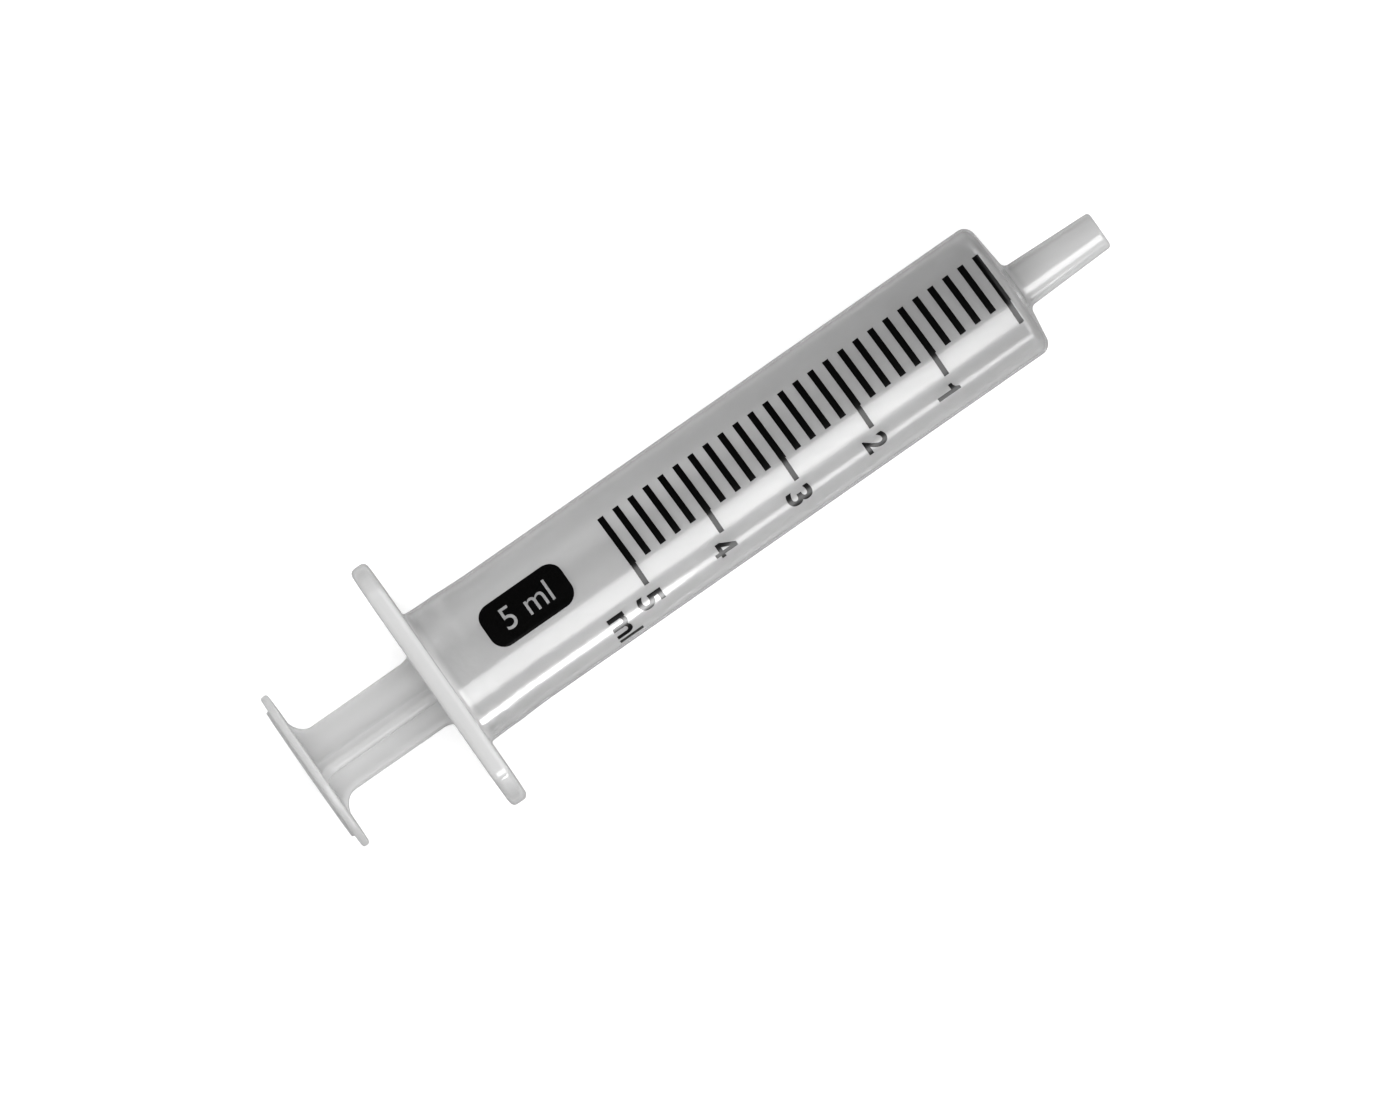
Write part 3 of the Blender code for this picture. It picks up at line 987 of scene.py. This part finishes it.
def field_outlines():
    """A rounded block with the syringe's capacity left clear in it."""
    half_length, half_width = FIELD_LENGTH / 2, FIELD_WIDTH / 2
    corners = []
    for quarter, (side, top) in enumerate(((1, 1), (-1, 1), (-1, -1), (1, -1))):
        centre = (side * (half_length - FIELD_CORNER), top * (half_width - FIELD_CORNER))
        corners += round_arc(centre, FIELD_CORNER, 90 * quarter, 90 * quarter + 90, LONG_ARC_STEPS)
    return [corners, *fitted(words_outlines("5 ml"), FIELD_WORDS_LENGTH, FIELD_WORDS_HEIGHT)]


def make_prints(ink):
    """Everything printed on the barrel."""
    prints = [make_scale_lines(ink)]
    for number, (height, drop) in enumerate(zip(NUMERAL_HEIGHTS, NUMERAL_DROPS), start=1):
        s = ZERO_LINE - number * LINES_PER_ML * LINE_PITCH - drop
        width, angle = (ONE_WIDTH, ONE_CENTRE) if number == 1 else (NUMERAL_WIDTH, NUMERAL_CENTRE)
        if number in FIGURES:
            outlines = fitted(FIGURES[number], width, height)
        else:
            outlines = fitted(words_outlines(str(number)), width, height, INK_BOLDNESS)
        curve = flat_curve(outlines)
        prints.append(print_on_barrel(f"numeral_{number}", curve, s, angle, ink))
    unit = flat_curve(fitted(words_outlines("ml"), UNIT_WIDTH, UNIT_HEIGHT, INK_BOLDNESS))
    prints.append(print_on_barrel("unit_ml", unit, UNIT_CENTRE, UNIT_ANGLE, ink))
    field = flat_curve(field_outlines())
    prints.append(print_on_barrel("capacity_field", field, FIELD_CENTRE, FIELD_ANGLE, ink, reads_along=True))
    return prints


def softbox(name, stands, aim, size, radiance, shines):
    """A rectangular lamp that faces a point, with its first side level. It isn't straight above that
    point. It shines as a highlight only, or else gives soft light that no gloss shows."""
    lamp = bpy.data.lights.new(name, "AREA")
    lamp.shape = "RECTANGLE"
    lamp.size, lamp.size_y = size
    lamp.energy = radiance * math.pi * size[0] * size[1]
    holder = linked(name, lamp)
    back = (Vector(stands) - Vector(aim)).normalized()
    level = Vector((-back.y, back.x, 0)).normalized()
    turn = Matrix((level, back.cross(level), back)).transposed().to_4x4()
    holder.matrix_world = Matrix.Translation(stands) @ turn
    holder.visible_camera = False
    holder.visible_diffuse = not shines
    holder.visible_glossy = shines
    holder.visible_transmission = not shines


def round_the_axis(off_vertical, away):
    """A place beside the syringe's middle, at an angle from the top towards -Y."""
    angle = math.radians(off_vertical)
    return LIT_POINT + Vector((0, -away * math.sin(angle), away * math.cos(angle)))


def light_path_mask(tree):
    """1 for what the camera, gloss and clear plastic see, 0 for the light that falls on the object."""
    path = add_node(tree, "ShaderNodeLightPath").outputs
    seen = path["Is Camera Ray"]
    for kind in ("Is Glossy Ray", "Is Transmission Ray"):
        seen = add_node(tree, "ShaderNodeMath", {0: seen, 1: path[kind]}, operation="MAXIMUM").outputs[0]
    return seen


def make_world():
    """A white world, brighter where it is seen than in the light that it gives."""
    world = bpy.data.worlds.new("studio")
    bpy.context.scene.world = world
    world.use_nodes = True
    tree = world.node_tree
    tree.nodes.clear()
    strength = add_node(
        tree,
        "ShaderNodeMapRange",
        {"Value": light_path_mask(tree), "To Min": 0.48, "To Max": 1.0},
    )
    background = add_node(
        tree,
        "ShaderNodeBackground",
        {"Color": linear("#FFFFFF"), "Strength": strength.outputs[0]},
    )
    add_node(tree, "ShaderNodeOutputWorld", {"Surface": background.outputs[0]})


def make_floor():
    """Pale matt paper, lifted to white where it is seen. It keeps the object's shadow."""
    bm = bmesh.new()
    sides = ((-1, -1), (1, -1), (1, 1), (-1, 1))
    bm.faces.new([bm.verts.new((x * FLOOR_REACH, y * FLOOR_REACH, 0)) for x, y in sides])
    floor = finished("floor", bm)
    made, tree = new_material("pale_paper")
    paper = add_node(tree, "ShaderNodeBsdfDiffuse", {"Color": linear("#F4F4F4")})
    lift = add_node(tree, "ShaderNodeEmission", {"Color": linear("#FFFFFF"), "Strength": 0.45})
    lifted = add_node(tree, "ShaderNodeAddShader", {0: paper.outputs[0], 1: lift.outputs[0]})
    mixed = add_node(
        tree,
        "ShaderNodeMixShader",
        {0: light_path_mask(tree), 1: paper.outputs[0], 2: lifted.outputs[0]},
    )
    add_node(tree, "ShaderNodeOutputMaterial", {"Surface": mixed.outputs[0]})
    floor.data.materials.append(made)


def make_dark_tunnel():
    """Cards that only gloss shows: the lamps alone shine on the plastic, and the ink stays black."""
    course = [
        round_the_axis(TUNNEL_SIDE - 2 * TUNNEL_SIDE * step / TUNNEL_STEPS, TUNNEL_RADIUS)
        for step in range(TUNNEL_STEPS + 1)
    ]
    on_floor = (TUNNEL_RADIUS, GREY_CARD_REACH, -GREY_CARD_REACH, -TUNNEL_RADIUS)
    course += [Vector((LIT_POINT.x, y, TUNNEL_FLOOR)) for y in on_floor]
    ends = [[point + Vector((end, 0, 0)) for point in course] for end in TUNNEL_ENDS]
    card = skin("dark_tunnel", ends, closed_loop=False)
    for name, colour in (("black_card", "#1A1A1A"), ("grey_card", "#ACACAC")):
        made, tree = new_material(name)
        matt = add_node(tree, "ShaderNodeEmission", {"Color": linear(colour), "Strength": 1.0})
        add_node(tree, "ShaderNodeOutputMaterial", {"Surface": matt.outputs[0]})
        card.data.materials.append(made)
    # The card close beside the syringe is grey, so that its outline isn't black
    for face in card.data.polygons:
        if face.center.z < axis_height and abs(face.center.y) < GREY_CARD_REACH:
            face.material_index = 1
    card.visible_camera = False
    card.visible_diffuse = False
    card.visible_transmission = False
    card.visible_shadow = False


# The lamps: where each stands, the point that it faces, its two sides in metres, and its brightness
SOFT_LAMPS = {
    "top_fill": ((-0.045, -0.005, 0.085), (-0.045, 0, axis_height), (0.05, 0.05), 2.4),
    "front_fill": ((0.12, -0.01, 0.04), (0.035, 0, axis_height), (0.05, 0.05), 2.5),
    "soft_fill": (round_the_axis(60, 0.8), LIT_POINT, (0.9, 0.9), 0.4),
    "barrel_fill": ((0.008, -0.056, 0.048), (0.008, 0, axis_height), (0.060, 0.035), 4.1),
    "side_fill": (round_the_axis(-58, 0.087) - SIDE_STEP, LIT_POINT - SIDE_STEP, (0.06, 0.06), 3.5),
}
HIGHLIGHT_LAMPS = {
    "highlight_panel": (round_the_axis(41.3, 0.6) + FORWARD_STEP, LIT_POINT + FORWARD_STEP, (0.6, 0.355), 4.8),
    "far_strip": ((0.0207, -0.1392, 0.011), (0.0927, -0.0692, 0.011), (0.145, 0.022), 4.7),
    "near_strip": ((-0.018, -0.065, 0.011), (-0.018, 0, 0.011), (0.026, 0.0115), 11.0),
}


def make_lamps():
    """The lamps that light the syringe, and those that are only its highlights."""
    for lamps, shines in ((SOFT_LAMPS, False), (HIGHLIGHT_LAMPS, True)):
        for name, (stands, aim, size, radiance) in lamps.items():
            softbox(name, stands, aim, size, radiance, shines)


def make_camera():
    """Straight above, turned so that the tip points to the upper right."""
    lens = bpy.data.cameras.new("camera")
    lens.sensor_width = SENSOR_WIDTH
    lens.lens = LENS
    frame_width = PHOTO_WIDTH / PIXELS_PER_MM * MM
    distance = frame_width * LENS / SENSOR_WIDTH
    camera = linked("camera", lens)
    camera.location = (PHOTO_MIDDLE[0] * MM, PHOTO_MIDDLE[1] * MM, axis_height + distance)
    camera.rotation_euler = (0, 0, -math.radians(PHOTO_TURN))
    bpy.context.scene.camera = camera


barrel = make_barrel()
barrel.data.materials.append(natural_polypropylene())
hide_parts("barrel")
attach(barrel, "barrel")

plunger = make_plunger()
plunger.data.materials.append(natural_polyethylene())
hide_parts("plunger")
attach(plunger, "plunger")

for piece in make_prints(printing_ink()):
    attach(piece, "barrel")

make_world()
make_floor()
make_dark_tunnel()
make_lamps()
make_camera()
bpy.context.scene.view_settings.view_transform = "Standard"
